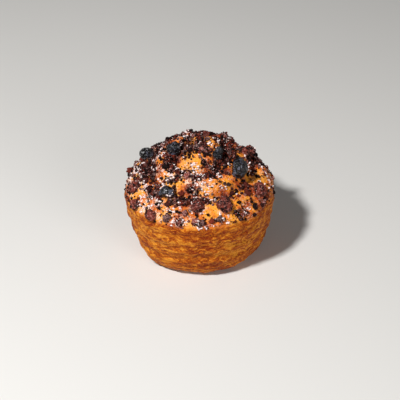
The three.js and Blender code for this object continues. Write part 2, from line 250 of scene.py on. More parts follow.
def groove_depth(turn):
    opened = smooth(*GROOVE_FADE_IN, turn)
    return GROOVE_DEPTH * opened * (1 - smooth(LAST_TURN - GROOVE_FADE_OUT, LAST_TURN, turn))


def rim_wander(angle):
    return 0.007 * np.sin(2 * angle + 0.6) + 0.006 * np.sin(3 * angle + 2.1)


def rim_at(angle):
    return RIM_RADIUS * (1 + rim_wander(angle))


def crown(x, y):
    angle = np.arctan2(y, x)
    share = np.minimum(1, np.hypot(x, y) / rim_at(angle))
    lift = 0.7 * np.sin(3 * angle + 0.8) - 0.5 * np.sin(angle)
    dome = CROWN_RISE * (1 - share**CROWN_FULLNESS) ** CROWN_SHOULDER
    height = RIM_HEIGHT + dome + CROWN_TILT * y * (1 - share**2) + lift * share**4
    for (rise_x, rise_y), reach, rise in RISES:
        away = np.hypot(x - rise_x, y - rise_y) / reach
        height = height + rise * np.exp(-(away**2))
    return height


def coil_swell(turn):
    wave = 0.6 * np.sin(TAU * 2.7 * turn + 3.46) + 0.35 * np.sin(TAU * 6.3 * turn + 5.97)
    return smooth(0.3, 1, turn) * wave


def knob_sink(turn):
    return KNOB_SINK * (1 - smooth(*KNOB_RISE, turn))


def coil_point(turn, across):
    """Points of the top with its grooves filled: across goes from the inner groove to the outer."""
    radius = mix(groove_at(turn - 1), groove_at(turn), across)
    angle = angle_at(turn)
    share = radius / RIM_RADIUS
    spread = 1 + rim_wander(angle) * share**2
    x = radius * spread * np.cos(angle) + POLE[0] * (1 - share**4)
    y = radius * spread * np.sin(angle) + POLE[1] * (1 - share**4)
    sink = mix(knob_sink(turn - 1), knob_sink(turn), smooth(0, 0.6, across))
    swell = coil_swell(turn) * np.sin(math.pi * across)
    return np.stack([x + LEAN[0], y + LEAN[1], crown(x, y) - sink + swell], -1)


def groove_fall(turn, across):
    """How far the coils fall away into the grooves on either side."""
    inner, outer = groove_at(turn - 1), groove_at(turn)
    radius = mix(inner, outer, across)
    from_inner = (1 - clamp01((radius - inner) / OUTER_FLANK)) ** 2
    from_outer = (1 - clamp01((outer - radius) / INNER_FLANK)) ** 2
    inside = np.where(inner > 0, groove_depth(turn - 1) * from_inner, 0)
    return inside + np.where(outer < RIM_RADIUS, groove_depth(turn) * from_outer, 0)


def top_point(turn, across):
    points = coil_point(turn, across)
    points[..., 2] -= groove_fall(turn, across)
    return points


def wall_point(angle, down):
    """Points of the side: down goes from the rim, 0, to the edge of the flat base, 1."""
    rim = rim_at(angle)
    top = crown(rim * np.cos(angle), rim * np.sin(angle))
    slope = math.atan(WALL_TAPER)
    foot = BASE_ROUND * (1 - math.sin(slope))
    turned = mix(slope, math.pi / 2, clamp01((down - 1) / ROUND_ROWS + 1))
    z = mix(top, foot, clamp01(down / (1 - ROUND_ROWS)))
    z = z - BASE_ROUND * (np.sin(turned) - math.sin(slope))
    held = np.maximum(z, foot)
    below = RIM_HEIGHT - held - SHOULDER_DROP
    upright = (math.hypot(SHOULDER_DROP, SHOULDER_BLEND) - SHOULDER_DROP) / 2
    waves = TAU * held / LAYER_PITCH + 1.3 * np.sin(2 * angle + 1) + 0.8 * np.sin(5 * angle)
    lumps = 0.3 * np.sin(5 * angle + 0.13 * held) + LAYER_RELIEF * np.sin(waves)
    radius = rim - WALL_TAPER * ((np.hypot(below, SHOULDER_BLEND) + below) / 2 - upright)
    radius = radius + lumps * smooth(0, 12, top - held)
    radius = radius - BASE_ROUND * (math.cos(slope) - np.cos(turned))
    x = radius * np.cos(angle) + LEAN[0] * z / RIM_HEIGHT
    y = radius * np.sin(angle) + LEAN[1] * z / RIM_HEIGHT
    return np.stack([x, y, z], -1)


def draw(i, purpose):
    """The solid's repeatable draw from 0 to 1."""
    wave = math.sin(i * 12.9898 + purpose * 78.233) * 43758.5453
    return wave - math.floor(wave)


def coil_at(angle, radius):
    turn = angle / TAU - START_ANGLE
    turn += math.ceil(FIRST_TURN - turn)
    while groove_at(turn) < min(radius, RIM_RADIUS):
        turn += 1
    inner = groove_at(turn - 1)
    return turn, clamp01((radius - inner) / (groove_at(turn) - inner))


def outward_at(point):
    share = math.hypot(*(point[:2] - LEAN)) / RIM_RADIUS
    tilt = 1.5 * share**2 / RIM_RADIUS / max(share, 0.1)
    out = np.array([*(point[:2] - LEAN) * tilt, 1.0])
    return out / np.linalg.norm(out)


def seat(place):
    point = coil_point(*coil_at(math.radians(place[0]), place[1]))
    return point, outward_at(point)


def crumb_spots():
    """Where the solid's own crumbs lie: (point, outward, radius, heading) for each."""

    def spot_at(turn, across, radius, seed):
        point = top_point(np.float64(turn), across)
        out = outward_at(point)
        return point + out * radius * CRUMB_SINK, out, radius, TAU * draw(seed, 3)

    spots = [
        spot_at(*coil_at(math.radians(degrees), place), radius, CRUMB_COUNT + i)
        for i, ((degrees, place), radius) in enumerate(LARGE_CRUMBS)
    ]
    taken = []
    for place, size in CHUNK_SEATS:
        point, out = seat(place)
        taken.append((point + out * CHUNK_RIDE * size[2], max(size) / 2))
    taken += [(point, radius) for point, _, radius, _ in spots]
    bare = [(seat(place)[0], reach) for place, reach in BARE_PATCHES]
    golden = math.pi * (3 - math.sqrt(5))
    for i in range(CRUMB_COUNT):
        place = RIM_RADIUS * math.sqrt((i + 0.5) / CRUMB_COUNT)
        turn, across = coil_at(i * golden, place)
        radius = mix(*CRUMB_RADII, draw(i, 1) ** CRUMB_SKEW)
        spot = spot_at(turn, across**CRUMB_GATHER, radius, i)
        blocked = any(
            np.linalg.norm(spot[0] - middle) < reach + radius + CRUMB_GAP
            for middle, reach in taken
        )
        swept = smooth(*BARE_ACROSS, across**CRUMB_GATHER) * smooth(*BARE_FRONT, spot[0][1])
        if any(np.linalg.norm(spot[0] - middle) < reach for middle, reach in bare):
            swept = 1
        if not blocked and draw(i, 2) >= BARE_SHARE * swept:
            spots.append(spot)
    return spots


# What is finer than the solid's form, in millimetres.

WALL_LENGTH = 47.0
BASE_STEPS = 8  # mesh rings from the foot to the middle of the base
WALL_BLEND = 0.07  # share of the side over which the top's look gives way
RIM_REACH = 2.6
FOOT_FADE = 1.6
LEDGE_PITCH = 3.4
STRAND_PITCH = 1.9
NOISES = {  # pitch, octaves, and a shift that sets each one apart
    "lumps": (8.0, 3, 0.0),
    "wrinkles": (2.4, 3, 31.0),
    "streaks": (6.0, 4, 57.0),
    "ledges": (15.0, 3, 11.0),
    "strands": (9.0, 2, 71.0),
    "strand_patches": (5.0, 2, 91.0),
    "browning": (11.0, 3, 5.0),
    "haze": (6.0, 3, 44.0),
    "crumb_edge": (6.0, 3, 23.0),
    "clumps": (4.5, 2, 67.0),
    "rim_line": (6.0, 2, 3.0),
    "bulges": (0.9, 2, 0.0),
    "dents": (0.35, 2, 0.0),
}


def rough(points, name):
    """The named soft noise, about 0, at each point."""
    pitch, octaves, shift = NOISES[name]
    return np.array([noise.fractal(Vector(p), 1.0, 2.0, octaves) for p in points / pitch + shift])


# Meshes.


def new_piece(name, vertices, faces, attributes):
    """A mesh object at the origin from vertices in metres and equal-length faces."""
    mesh = bpy.data.meshes.new(name)
    vertices = np.asarray(vertices, np.float32)
    faces = [np.asarray(block, np.int32) for block in faces if len(block)]
    sizes = np.concatenate([np.full(len(block), block.shape[1], np.int32) for block in faces])
    corners = np.concatenate([block.ravel() for block in faces])
    mesh.vertices.add(len(vertices))
    mesh.vertices.foreach_set("co", vertices.ravel())
    mesh.loops.add(len(corners))
    mesh.loops.foreach_set("vertex_index", corners)
    mesh.polygons.add(len(sizes))
    starts = np.concatenate([[0], np.cumsum(sizes)[:-1]]).astype(np.int32)
    mesh.polygons.foreach_set("loop_start", starts)
    for key, values in attributes.items():
        layer = mesh.attributes.new(key, "FLOAT", "POINT")
        layer.data.foreach_set("value", np.asarray(values, np.float32))
    mesh.update(calc_edges=True)
    mesh.validate()
    piece = bpy.data.objects.new(name, mesh)
    bpy.context.scene.collection.objects.link(piece)
    return piece


def only(piece):
    """Leaves this one object selected and active, in object mode."""
    if bpy.context.object and bpy.context.object.mode != "OBJECT":
        bpy.ops.object.mode_set(mode="OBJECT")
    bpy.ops.object.select_all(action="DESELECT")
    piece.select_set(True)
    bpy.context.view_layer.objects.active = piece


def edit_all(piece):
    """Takes the piece into edit mode with everything selected."""
    only(piece)
    bpy.ops.object.mode_set(mode="EDIT")
    bpy.ops.mesh.select_all(action="SELECT")


def finish_with(piece, kind, name, **settings):
    """Adds a modifier and applies it."""
    only(piece)
    modifier = piece.modifiers.new(name, kind)
    for key, value in settings.items():
        setattr(modifier, key, value)
    bpy.ops.object.modifier_apply(modifier=modifier.name)


def vertices_of(piece):
    flat = np.zeros(len(piece.data.vertices) * 3, np.float32)
    piece.data.vertices.foreach_get("co", flat)
    return flat.reshape(-1, 3).astype(float)


def move_vertices(piece, points):
    piece.data.vertices.foreach_set("co", points.astype(np.float32).ravel())
    piece.data.update()


def triangles_of(piece):
    piece.data.calc_loop_triangles()
    flat = np.zeros(len(piece.data.loop_triangles) * 3, np.int32)
    piece.data.loop_triangles.foreach_get("vertices", flat)
    return flat.reshape(-1, 3)


def shape_taken(piece):
    """The vertices and triangles of a piece in edit mode, which goes."""
    bpy.ops.object.mode_set(mode="OBJECT")
    shape = vertices_of(piece), triangles_of(piece)
    mesh = piece.data
    bpy.data.objects.remove(piece)
    bpy.data.meshes.remove(mesh)
    return shape


def normals_of(vertices, triangles):
    """Area-weighted vertex normals."""
    a, b, c = (vertices[triangles[:, k]] for k in range(3))
    facing = np.cross(b - a, c - a)
    total = np.zeros_like(vertices)
    for k in range(3):
        np.add.at(total, triangles[:, k], facing)
    return total / np.maximum(np.linalg.norm(total, axis=1, keepdims=True), 1e-12)


def attribute_of(piece, key):
    values = np.zeros(len(piece.data.vertices), np.float32)
    piece.data.attributes[key].data.foreach_get("value", values)
    return values.astype(float)


def tree_of(piece):
    """The piece's surface, for rays."""
    points = [Vector(p) for p in vertices_of(piece)]
    return BVHTree.FromPolygons(points, triangles_of(piece).tolist())


def nearest_among(points):
    """The points, for finding the nearest one."""
    tree = KDTree(len(points))
    for i, point in enumerate(points):
        tree.insert(point, i)
    tree.balance()
    return tree


def needed(name):
    piece = bpy.data.objects.get(name)
    if piece is None:
        raise RuntimeError(f"{name} has to be made first")
    return piece


# Materials.

PATTERNS = {  # features in a metre, detail, roughness, distortion
    "streaks": (190, 8, 0.66, 0.9),
    "threads": (620, 5, 0.65, 1.2),
    "blotches": (75, 3, 0.5, 0),
    "grain": (1100, 4, 0.6, 0),
    "pores": (460, 5, 0.7, 0),
    "flecks": (560, 4, 0.7, 1.2),
    "specks": (1150, 3, 0.65, 1.5),
    "melted": (560, 6, 0.8, 0.8),
    "gloss": (300, 4, 0.6, 0),
    "sway": (90, 2, 0.55, 0),
    "kinks": (500, 2, 0.55, 0),
    "clods": (330, 4, 0.6, 0),
    "fine": (2200, 3, 0.6, 0),
    "rosy": (1000, 3, 0.6, 0),
    "pale": (1500, 3, 0.6, 0),
    "mottled": (900, 3, 0.6, 0),
    "dusting": (1700, 4, 0.7, 0),
    "crumbly": (1900, 4, 0.65, 0),
    "sheen": (700, 4, 0.55, 0),
    "cloud": (2600, 3, 0.6, 0),
    "floor": (3, 2, 0.55, 0),
}


def tint(code):
    """A linear colour from a six-digit sRGB code."""
    levels = [int(code[i : i + 2], 16) / 255 for i in (0, 2, 4)]
    return tuple(x / 12.92 if x <= 0.04045 else ((x + 0.055) / 1.055) ** 2.4 for x in levels)


class Value:
    """A shader node's output. Arithmetic on it adds Math nodes."""

    def __init__(self, recipe, socket):
        self.recipe = recipe
        self.socket = socket

    def math(self, operation, *values, clamp=False):
        settings = {"operation": operation, "use_clamp": clamp}
        return self.recipe.add("ShaderNodeMath", settings, dict(enumerate(values)))

    def __add__(self, other):
        return self.math("ADD", self, other)

    __radd__ = __add__

    def __mul__(self, other):
        return self.math("MULTIPLY", self, other)

    __rmul__ = __mul__

    def __sub__(self, other):
        return self.math("SUBTRACT", self, other)

    def __rsub__(self, other):
        return self.math("SUBTRACT", other, self)

    def clamped(self):
        return self.math("ADD", self, 0.0, clamp=True)


class Recipe:
    """One material's nodes."""

    def __init__(self, name):
        self.material = bpy.data.materials.new(name)
        self.material.use_nodes = True
        self.tree = self.material.node_tree
        self.shader = self.tree.nodes["Principled BSDF"]
        self.place = self.add("ShaderNodeTexCoord", {}, {}, "Object")

    def add(self, kind, settings, sockets, out=0):
        """Adds a node: its settings first, then its sockets. A ramp's setting is its stops."""
        node = self.tree.nodes.new(kind)
        for key, value in settings.items():
            if key == "stops":
                self.set_stops(node.color_ramp, value)
            else:
                setattr(node, key, value)
        for key, value in sockets.items():
            self.give(node.inputs[key], value)
        return Value(self, node.outputs[out])

    def give(self, socket, value):
        if isinstance(value, Value):
            self.tree.links.new(value.socket, socket)
        elif socket.type == "RGBA":
            socket.default_value = (*value[:3], 1.0)
        else:
            socket.default_value = value

    @staticmethod
    def set_stops(ramp, stops):
        while len(ramp.elements) < len(stops):
            ramp.elements.new(1.0)
        for element, (position, colour) in zip(ramp.elements, stops):
            element.position = position
            element.color = (*colour[:3], 1.0)

    def attribute(self, name):
        return self.add("ShaderNodeAttribute", {"attribute_name": name}, {}, "Fac")

    def vector(self, operation, a, b):
        return self.add("ShaderNodeVectorMath", {"operation": operation}, {0: a, 1: b})

    def pattern(self, name, place=None, out="Fac"):
        """One of the named patterns, on the piece's own place unless another is given."""
        scale, detail, roughness, distortion = PATTERNS[name]
        sockets = {"Vector": place or self.place, "Scale": scale, "Detail": detail}
        sockets |= {"Roughness": roughness, "Distortion": distortion}
        return self.add("ShaderNodeTexNoise", {}, sockets, out)

    def cells(self, place, scale, feature="F1"):
        sockets = {"Vector": place, "Scale": scale}
        return self.add("ShaderNodeTexVoronoi", {"feature": feature}, sockets, "Distance")

    def warped(self, name, amount):
        """The piece's own place, moved by up to amount metres either way in a pattern."""
        centred = self.vector("SUBTRACT", self.pattern(name, out="Color"), (0.5,) * 3)
        return self.vector("ADD", self.place, self.vector("MULTIPLY", centred, (2 * amount,) * 3))

    def fade(self, value, low, high):
        """0 below low, 1 above high, and a smooth step between."""
        settings = {"interpolation_type": "SMOOTHSTEP"}
        sockets = {"Value": value, "From Min": low, "From Max": high}
        return self.add("ShaderNodeMapRange", settings, sockets, "Result")

    def blend(self, factor, a, b):
        return self.add("ShaderNodeMix", {"data_type": "RGBA"}, {0: factor, 6: a, 7: b}, 2)

    def ramp(self, value, stops):
        return self.add("ShaderNodeValToRGB", {"stops": stops}, {"Fac": value}, "Color")

    def bump(self, height, distance, strength):
        sockets = {"Height": height, "Distance": distance, "Strength": strength}
        return self.add("ShaderNodeBump", {}, sockets)

    def finish(self, colour, roughness, others):
        """Sets the shader's sockets, and gives the material."""
        for key, value in {"Base Color": colour, "Roughness": roughness, **others}.items():
            self.give(self.shader.inputs[key], value)
        return self.material


def number_property(name, description, value, unit="NONE"):
    return FloatProperty(name=name, description=description, default=value, unit=unit, min=0)


def length_property(name, description, millimetres):
    return number_property(name, description, millimetres * MM, "LENGTH")


def count_property(name, description, count, least=0):
    return IntProperty(name=name, description=description, default=count, min=least)


def span_property(name, millimetres):
    ends = tuple(end * MM for end in millimetres)
    return FloatVectorProperty(
        name=name, description="Least and most", default=ends, size=2, unit="LENGTH", min=0
    )


def colour_property(name, description, code):
    return FloatVectorProperty(
        name=name, description=description, default=tint(code), subtype="COLOR", min=0, max=1
    )


class CroissantDoughSettings(bpy.types.PropertyGroup):
    """Relief and colours of the baked dough"""

    fineness: IntProperty(
        name="Fineness", description="Mesh steps for each of the solid's", default=6, min=1, max=8
    )
    columns: count_property("Columns", "Mesh columns across a coil", 22, 6)
    wall_rows: count_property("Wall rows", "Mesh rows down the side", 84, 10)
    lump: length_property("Lumps", "Height of the soft lumps", 0.55)
    wrinkle: length_property("Wrinkles", "Height of the fine wrinkles on top", 0.3)
    ledge: length_property("Ledges", "Height of the layer edges down the side", 0.3)
    rim_round: length_property("Rim", "How far the rim's edge is worn round", 0.9)
    gold: colour_property("Gold", "Palest dough on top", "FAA234")
    amber: colour_property("Amber", "Dough on top", "E67C24")
    russet: colour_property("Russet", "Browned ridges on top", "A8441C")
    # Umber is also reached in the grooves, where the browning carries painted shade
    umber: colour_property("Umber", "Darkest crust", "571F10")
    # Crumb dust that also paints shade: under the crumbs the dough is darkened with it, partly real
    # cocoa dust and partly painted shade between the crumbs; it also colours the dark specks
    crumb_dust_and_shade: colour_property("Crumb dust", "Dough under the crumbs", "280B06")
    wall_gold: colour_property("Side, golden", "Light streaks down the side", "E8962A")
    wall_tan: colour_property("Side, tan", "Most of the side", "BE5E08")
    wall_brown: colour_property("Side, brown", "Dark streaks down the side", "842A00")
    sugared: colour_property("Sugared", "Sugar melted on the dough", "F8D4B8")


class CroissantCookieSettings(bpy.types.PropertyGroup):
    """Relief and colours of the larger broken cookie"""

    grain: length_property("Grain", "Mesh size of the broken faces", 0.24)
    crag: length_property("Crags", "Height of the crags on the dark pieces", 0.75)
    clod: length_property("Clods", "Height of the clods on the brown pieces", 0.9)
    pit: length_property("Pits", "Height of the fine pits", 0.28)
    black: colour_property("Black", "Darkest cookie", "09090C")
    # Bluish-grey painted highlight on the dark cookie, standing in for the reflection on its lit
    # faces
    painted_highlight: colour_property("Slate", "Bloom on the dark cookie", "585A69")
    cocoa: colour_property("Cocoa", "Brown cookie", "743328")
    rose: colour_property("Rose", "Pale grains of the brown cookie", "B87A70")


class CroissantCrumbSettings(bpy.types.PropertyGroup):
    """Numbers, sizes and colours of the loose crumbs"""

    medium_count: count_property("Medium crumbs", "Tries to place one", 2000)
    small_count: count_property("Small crumbs", "How many", 2900)
    fine_count: count_property("Fine crumbs", "How many", 5200)
    medium_radius: span_property("Medium radius", (0.6, 1.3))
    small_radius: span_property("Small radius", (0.34, 0.68))
    fine_radius: span_property("Fine radius", (0.14, 0.36))
    dark: colour_property("Dark", "Darkest crumbs", "0E0404")
    brown: colour_property("Brown", "Most crumbs", "411812")
    red: colour_property("Red", "Reddest crumbs", "742C1D")
    dust: colour_property("Dust", "Sugar on the crumbs", "D4A49C")


class CroissantSugarSettings(bpy.types.PropertyGroup):
    """Numbers, sizes and colours of the sugar"""

    cluster_count: count_property("Clusters", "How many", 300)
    crystal_count: count_property("Crystals", "How many, all in clusters", 1700)
    grain_count: count_property("Grains", "How many", 800)
    crystal_size: span_property("Crystal size", (0.23, 0.7))
    grain_size: span_property("Grain size", (0.1, 0.22))
    white: colour_property("White", "Sugar", "F2DEDA")
    shade: colour_property("Shade", "Clouds in the sugar", "E7C9C4")


class CroissantStageSettings(bpy.types.PropertyGroup):
    """Floor, lights and camera"""

    floor: colour_property("Floor", "Pale floor", "DCDAD6")
    key_power: number_property("Key light", "Power", 13.6, "POWER")
    front_power: number_property("Front light", "Power", 3.7, "POWER")
    room: number_property("Room", "Strength of the room's light", 0.06)
    distance: number_property("Distance", "Camera from the croissant", 0.8, "LENGTH")
    elevation: number_property("Elevation", "Above the horizon", math.radians(35), "ROTATION")
    lens: number_property("Lens", "Focal length in millimetres", 118.4, "CAMERA")


def swirl_surface(fineness, columns, wall_rows):
    """The skin in millimetres: vertices, quads, triangles, and where on the roll each vertex is."""
    steps = SOLID_STEPS * fineness
    groove_steps = GROOVE_STEPS * fineness
    rows = groove_steps + steps

    def turn_of(step):
        return FIRST_TURN + step / steps

    groove_turns = turn_of(np.arange(groove_steps + 1))
    rim_turns = turn_of(groove_steps + np.arange(1, steps))
    inside = np.arange(1, rows)
    turn_grid, across_grid = np.meshgrid(
        turn_of(inside), np.arange(1, columns) / columns, indexing="ij"
    )
    ring_angles = angle_at(turn_of(groove_steps + np.arange(steps)))
    down_grid, angle_grid = np.meshgrid(
        np.arange(1, wall_rows + 1) / wall_rows, ring_angles, indexing="ij"
    )
    wall = wall_point(angle_grid, down_grid).reshape(-1, 3)
    foot = wall[-steps:]
    base_shares = np.linspace(1, 0, BASE_STEPS + 1)[1:-1]
    base = np.concatenate([foot * [share, share, 1] for share in base_shares])
    blocks = [
        top_point(groove_turns, np.ones_like(groove_turns)),
        wall_point(angle_at(rim_turns), np.zeros_like(rim_turns)),
        top_point(turn_grid, across_grid).reshape(-1, 3),
        wall,
        base,
        np.zeros((1, 3)),
    ]
    starts = np.concatenate([[0], np.cumsum([len(block) for block in blocks])])
    vertices = np.concatenate(blocks)

    all_rows = np.arange(rows + 1)
    inner = np.where(all_rows < steps, 0, all_rows - steps)
    outer = np.where(all_rows <= groove_steps, all_rows, starts[1] + all_rows - groove_steps - 1)
    outer[-1] = groove_steps
    grid = np.zeros((rows + 1, columns + 1), int)
    grid[:, 0], grid[:, -1] = inner, outer
    grid[1:-1, 1:-1] = starts[2] + np.arange((rows - 1) * (columns - 1)).reshape(rows - 1, -1)
    grid[-1, 1:-1] = groove_steps
    corners = [grid[:-1, :-1], grid[:-1, 1:], grid[1:, 1:], grid[1:, :-1]]
    coils = np.stack(corners, -1).reshape(-1, 4)

    rings = [np.concatenate([[groove_steps], starts[1] + np.arange(steps - 1)])]
    rings += list(np.arange(starts[3], starts[5]).reshape(-1, steps))
    side = []
    for upper, lower in zip(rings, rings[1:]):
        side.append(np.stack([upper, lower, np.roll(lower, -1), np.roll(upper, -1)], -1))
    last = rings[-1]
    fan = np.stack([last, np.full(steps, starts[5]), np.roll(last, -1)], -1)

    quads = np.concatenate([coils, *side])
    turned = [quads[:, k] == quads[:, (k + 1) % 4] for k in range(4)]
    folded = np.any(turned, axis=0)
    triangles = [fan]
    for k in range(4):
        pinched = turned[k] & (np.sum(turned, axis=0) == 1)
        triangles.append(quads[pinched][:, [(k + 1) % 4, (k + 2) % 4, (k + 3) % 4]])

    def told(on_groove, on_rim, on_coils, below):
        wall_and_base = np.full(len(vertices) - starts[3], float(below))
        on_rim = np.full(steps - 1, float(on_rim))
        return np.concatenate([on_groove, on_rim, on_coils.ravel(), wall_and_base])

    ones = np.ones_like(groove_turns)
    down = told(0 * ones, 0, 0 * turn_grid, 1)
    down[starts[3] : starts[4]] = down_grid.ravel()
    radii = mix(groove_at(turn_grid - 1), groove_at(turn_grid), across_grid)
    fall, coil_fall = groove_fall(groove_turns, ones), groove_fall(turn_grid, across_grid)
    where = {
        "groove": told(fall, 0, coil_fall, 0) / GROOVE_DEPTH,
        "along": told(groove_at(groove_turns), RIM_RADIUS, radii, RIM_RADIUS),
        "across": told(ones, 1, across_grid, 1),
        "down": down,
    }
    return vertices, quads[~folded], np.concatenate(triangles), where


class PASTRY_OT_bake_dough(bpy.types.Operator):
    """Builds the rolled and baked dough in place of the solid"""

    bl_idname = "pastry.bake_dough"
    bl_label = "Bake the dough"

    def execute(self, context):
        look = context.scene.croissant_dough
        points, quads, triangles, where = swirl_surface(look.fineness, look.columns, look.wall_rows)
        where["wall"] = smooth(0.0, WALL_BLEND, where["down"])
        every = np.concatenate([quads[:, [0, 1, 2]], quads[:, [0, 2, 3]], triangles])
        relief = dough_relief(points, where, look)
        points = points + normals_of(points, every) * relief[:, None]
        points[:, 2] = np.maximum(points[:, 2], 0)
        looks = {"down": where["down"], "wall": where["wall"], **dough_looks(points, where)}
        piece = new_piece("croissant_dough", points * MM, [quads, triangles], looks)
        only(piece)
        bpy.ops.object.shade_smooth()
        piece.data.materials.append(dough_finish(look))
        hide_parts("croissant")
        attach(piece, "root")
        return {"FINISHED"}


def dough_relief(points, where, look):
    """How far the dough stands out from the solid's form: lumps, wrinkles and layer edges."""
    wall, along = where["wall"], where["along"]
    fine = rough(points, "wrinkles")
    streaks = rough(points * [1, 1, 2.4], "streaks")
    course = points[:, 2] / LEDGE_PITCH + 2.2 * rough(points * [1, 1, 1.6], "ledges")
    edge = course - np.floor(course)
    ledges = (smooth(0, 0.8, edge) - smooth(0.86, 1, edge) - 0.5) * smooth(-0.2, 0.35, streaks)
    strands = np.sin(TAU * (along / STRAND_PITCH + 1.1 * rough(points, "strands")))
    strands = strands * smooth(0.0, 0.35, rough(points, "strand_patches")) * (1 - where["groove"])

    relief = look.lump / MM * rough(points, "lumps")
    relief = relief + (1 - wall) * (look.wrinkle / MM) * (fine + 0.55 * strands)
    relief = relief + wall * (look.ledge / MM) * (ledges + 0.9 * streaks + 0.35 * fine)
    relief = relief * smooth(0.0, FOOT_FADE, points[:, 2])
    to_rim = (RIM_RADIUS - along) + where["down"] * WALL_LENGTH
    return relief - look.rim_round / MM * np.exp(-((to_rim / RIM_REACH) ** 2))


def dough_looks(points, where):
    """How browned (with painted shade in the grooves), how sugared and how strewn the dough is,
    each 0 to 1.
    """
    x, y, _ = points.T
    groove, along = where["groove"], where["along"]
    bare = nearness(points, BARE_PATCHES + THIN_PATCHES)
    rim = smooth(0.8, 1.0, along / RIM_RADIUS) * (1 - smooth(0.02, 0.1, where["down"]))
    crust = 0.4 + 0.75 * rough(points, "browning")
    crust = crust + rim * (0.12 + 0.12 * np.cos(np.arctan2(y, x) - 0.35))
    # Browner behind, and darker in the grooves, where the browning is partly painted shade
    crust = crust + 0.3 * smooth(5, 34, y) + 0.2 * groove
    haze = smooth(16, -30, x) * (0.45 + 0.55 * smooth(20, -20, y))
    haze = (0.3 + haze) * (0.8 + 2.0 * rough(points, "haze")) * (1 - 0.7 * groove)
    haze = haze * (0.3 + 0.5 * smooth(8, 15, along)) + 0.25 * nearness(points, SUGAR_PATCHES)
    return {
        "crust": clamp01(crust - 0.5 * bare),
        "haze": clamp01(haze * (1 - where["wall"])),
        "crumbed": crumb_cover(points, where, bare),
    }


def nearness(points, patches):
    """How far each point lies in one of the patches, 0 to 1."""
    near = np.zeros(len(points))
    for place, reach in patches:
        middle, _ = seat(place)
        gap = np.linalg.norm((points - middle) * [1, 1, 0.6], axis=1)
        near = np.maximum(near, 1 - smooth(0.55 * reach, 1.25 * reach, gap))
    return near


def crumb_cover(points, where, bare):
    """How thickly crumbs lie: in the troughs and on the inner half of each coil, and behind.

    On the right there are few, and at the brink in front they lie in clumps.
    """
    x, y, _ = points.T
    inner_half = 1 - smooth(0.38, 0.6, where["across"] + 0.3 * rough(points, "crumb_edge"))
    behind = smooth(4, 26, y)
    right = smooth(20, 28, x) * (1 - smooth(8, 18, y))
    right = np.maximum(right, smooth(34, 39, x) * (1 - smooth(18, 27, y)))
    clumps = clamp01(0.35 + 2.2 * rough(points, "clumps"))
    first_coil = 1 - smooth(27, 31, where["along"])
    outer_half = mix(0.06 + 0.14 * first_coil, 0.3, behind) * (0.2 + 1.5 * clumps)
    inner_half = inner_half * mix(0.65 + 0.35 * clumps, 0.2 + 0.6 * clumps, behind)
    brink = smooth(0.88, 0.95, where["along"] / RIM_RADIUS) * smooth(0, -16, y)
    brink = brink * smooth(0.4, 0.8, clumps) * mix(0.35, 0.6, smooth(10, -10, x))
    cover = mix(np.maximum(inner_half, outer_half), 0.03 + 0.25 * clumps, right)
    cover = np.maximum(np.maximum(cover, brink), 0.7 * nearness(points, HEAPS))
    cover = clamp01(cover * (1 - 0.7 * bare))
    rim_line = 0.02 + 0.04 * rough(points, "rim_line")
    return cover * (1 - smooth(rim_line - 0.012, rim_line + 0.012, where["down"]))


def dough_finish(look):
    """Golden side with wavy darker layers, and an amber, sugared top."""
    recipe = Recipe("baked_dough")
    wall, crust, haze = (recipe.attribute(name) for name in ("wall", "crust", "haze"))
    layered = recipe.vector("MULTIPLY", recipe.warped("sway", 4 * MM), (1.0, 1.0, 2.6))
    streaks, threads = (recipe.pattern(name, layered) for name in ("streaks", "threads"))
    blotches, grain, pores = (recipe.pattern(name) for name in ("blotches", "grain", "pores"))

    stops = [(0.33, look.wall_brown), (0.49, look.wall_tan)]
    stops += [(0.6, look.wall_tan), (0.76, look.wall_gold)]
    side = recipe.ramp((streaks - 0.5) * 2.9 + 0.5 + (0.5 - blotches), stops)
    side = recipe.blend(recipe.fade(threads, 0.5, 0.36) * 0.75, side, look.wall_brown)
    side = recipe.blend(recipe.fade(threads, 0.54, 0.66) * 0.7, side, look.wall_gold)
    side = recipe.blend(recipe.fade(grain, 0.55, 0.68) * 0.45, side, look.wall_gold)

    # The top's ramp follows the browning, which in the grooves also carries painted shade
    baked = (crust + (pores - 0.5) * 1.5 + (blotches - 0.5) * 0.7).clamped()
    stops = [(0.05, look.gold), (0.38, look.amber), (0.72, look.russet), (1.0, look.umber)]
    top = recipe.ramp(baked, stops)
    flecks = recipe.fade(recipe.pattern("flecks"), 0.56, 0.66)
    top = recipe.blend(flecks * 0.55, top, look.russet)
    specks = recipe.fade(recipe.pattern("specks"), 0.6, 0.67)
    top = recipe.blend(specks * 0.8, top, look.crumb_dust_and_shade)
    melted = recipe.fade(recipe.pattern("melted") + haze * 0.05, 0.535, 0.6)
    top = recipe.blend(melted * (0.25 + haze * 0.75), top, look.sugared)
    # Under the crumbs the top darkens towards the crumb dust colour: partly real dust, partly
    # painted shade between the crumbs
    crumb_dust_and_shade_share = recipe.fade(recipe.attribute("crumbed") + (pores - 0.5) * 0.9, 0.4, 0.75)
    top = recipe.blend(crumb_dust_and_shade_share * 0.9, top, look.crumb_dust_and_shade)

    rougher = wall * 0.2 + crumb_dust_and_shade_share * (1.0 - wall) * 0.3
    roughness = (0.24 + recipe.pattern("gloss") * 0.3 + rougher).clamped()
    layers = (streaks + threads * 0.45) * wall
    height = layers + (pores * 0.8) * (1 - wall) + grain * 0.12
    normal = recipe.bump(height, 1.6 * MM, 0.9)
    colour = recipe.blend(wall, top, side)
    return recipe.finish(colour, roughness, {"Normal": normal, "Specular IOR Level": 0.13})


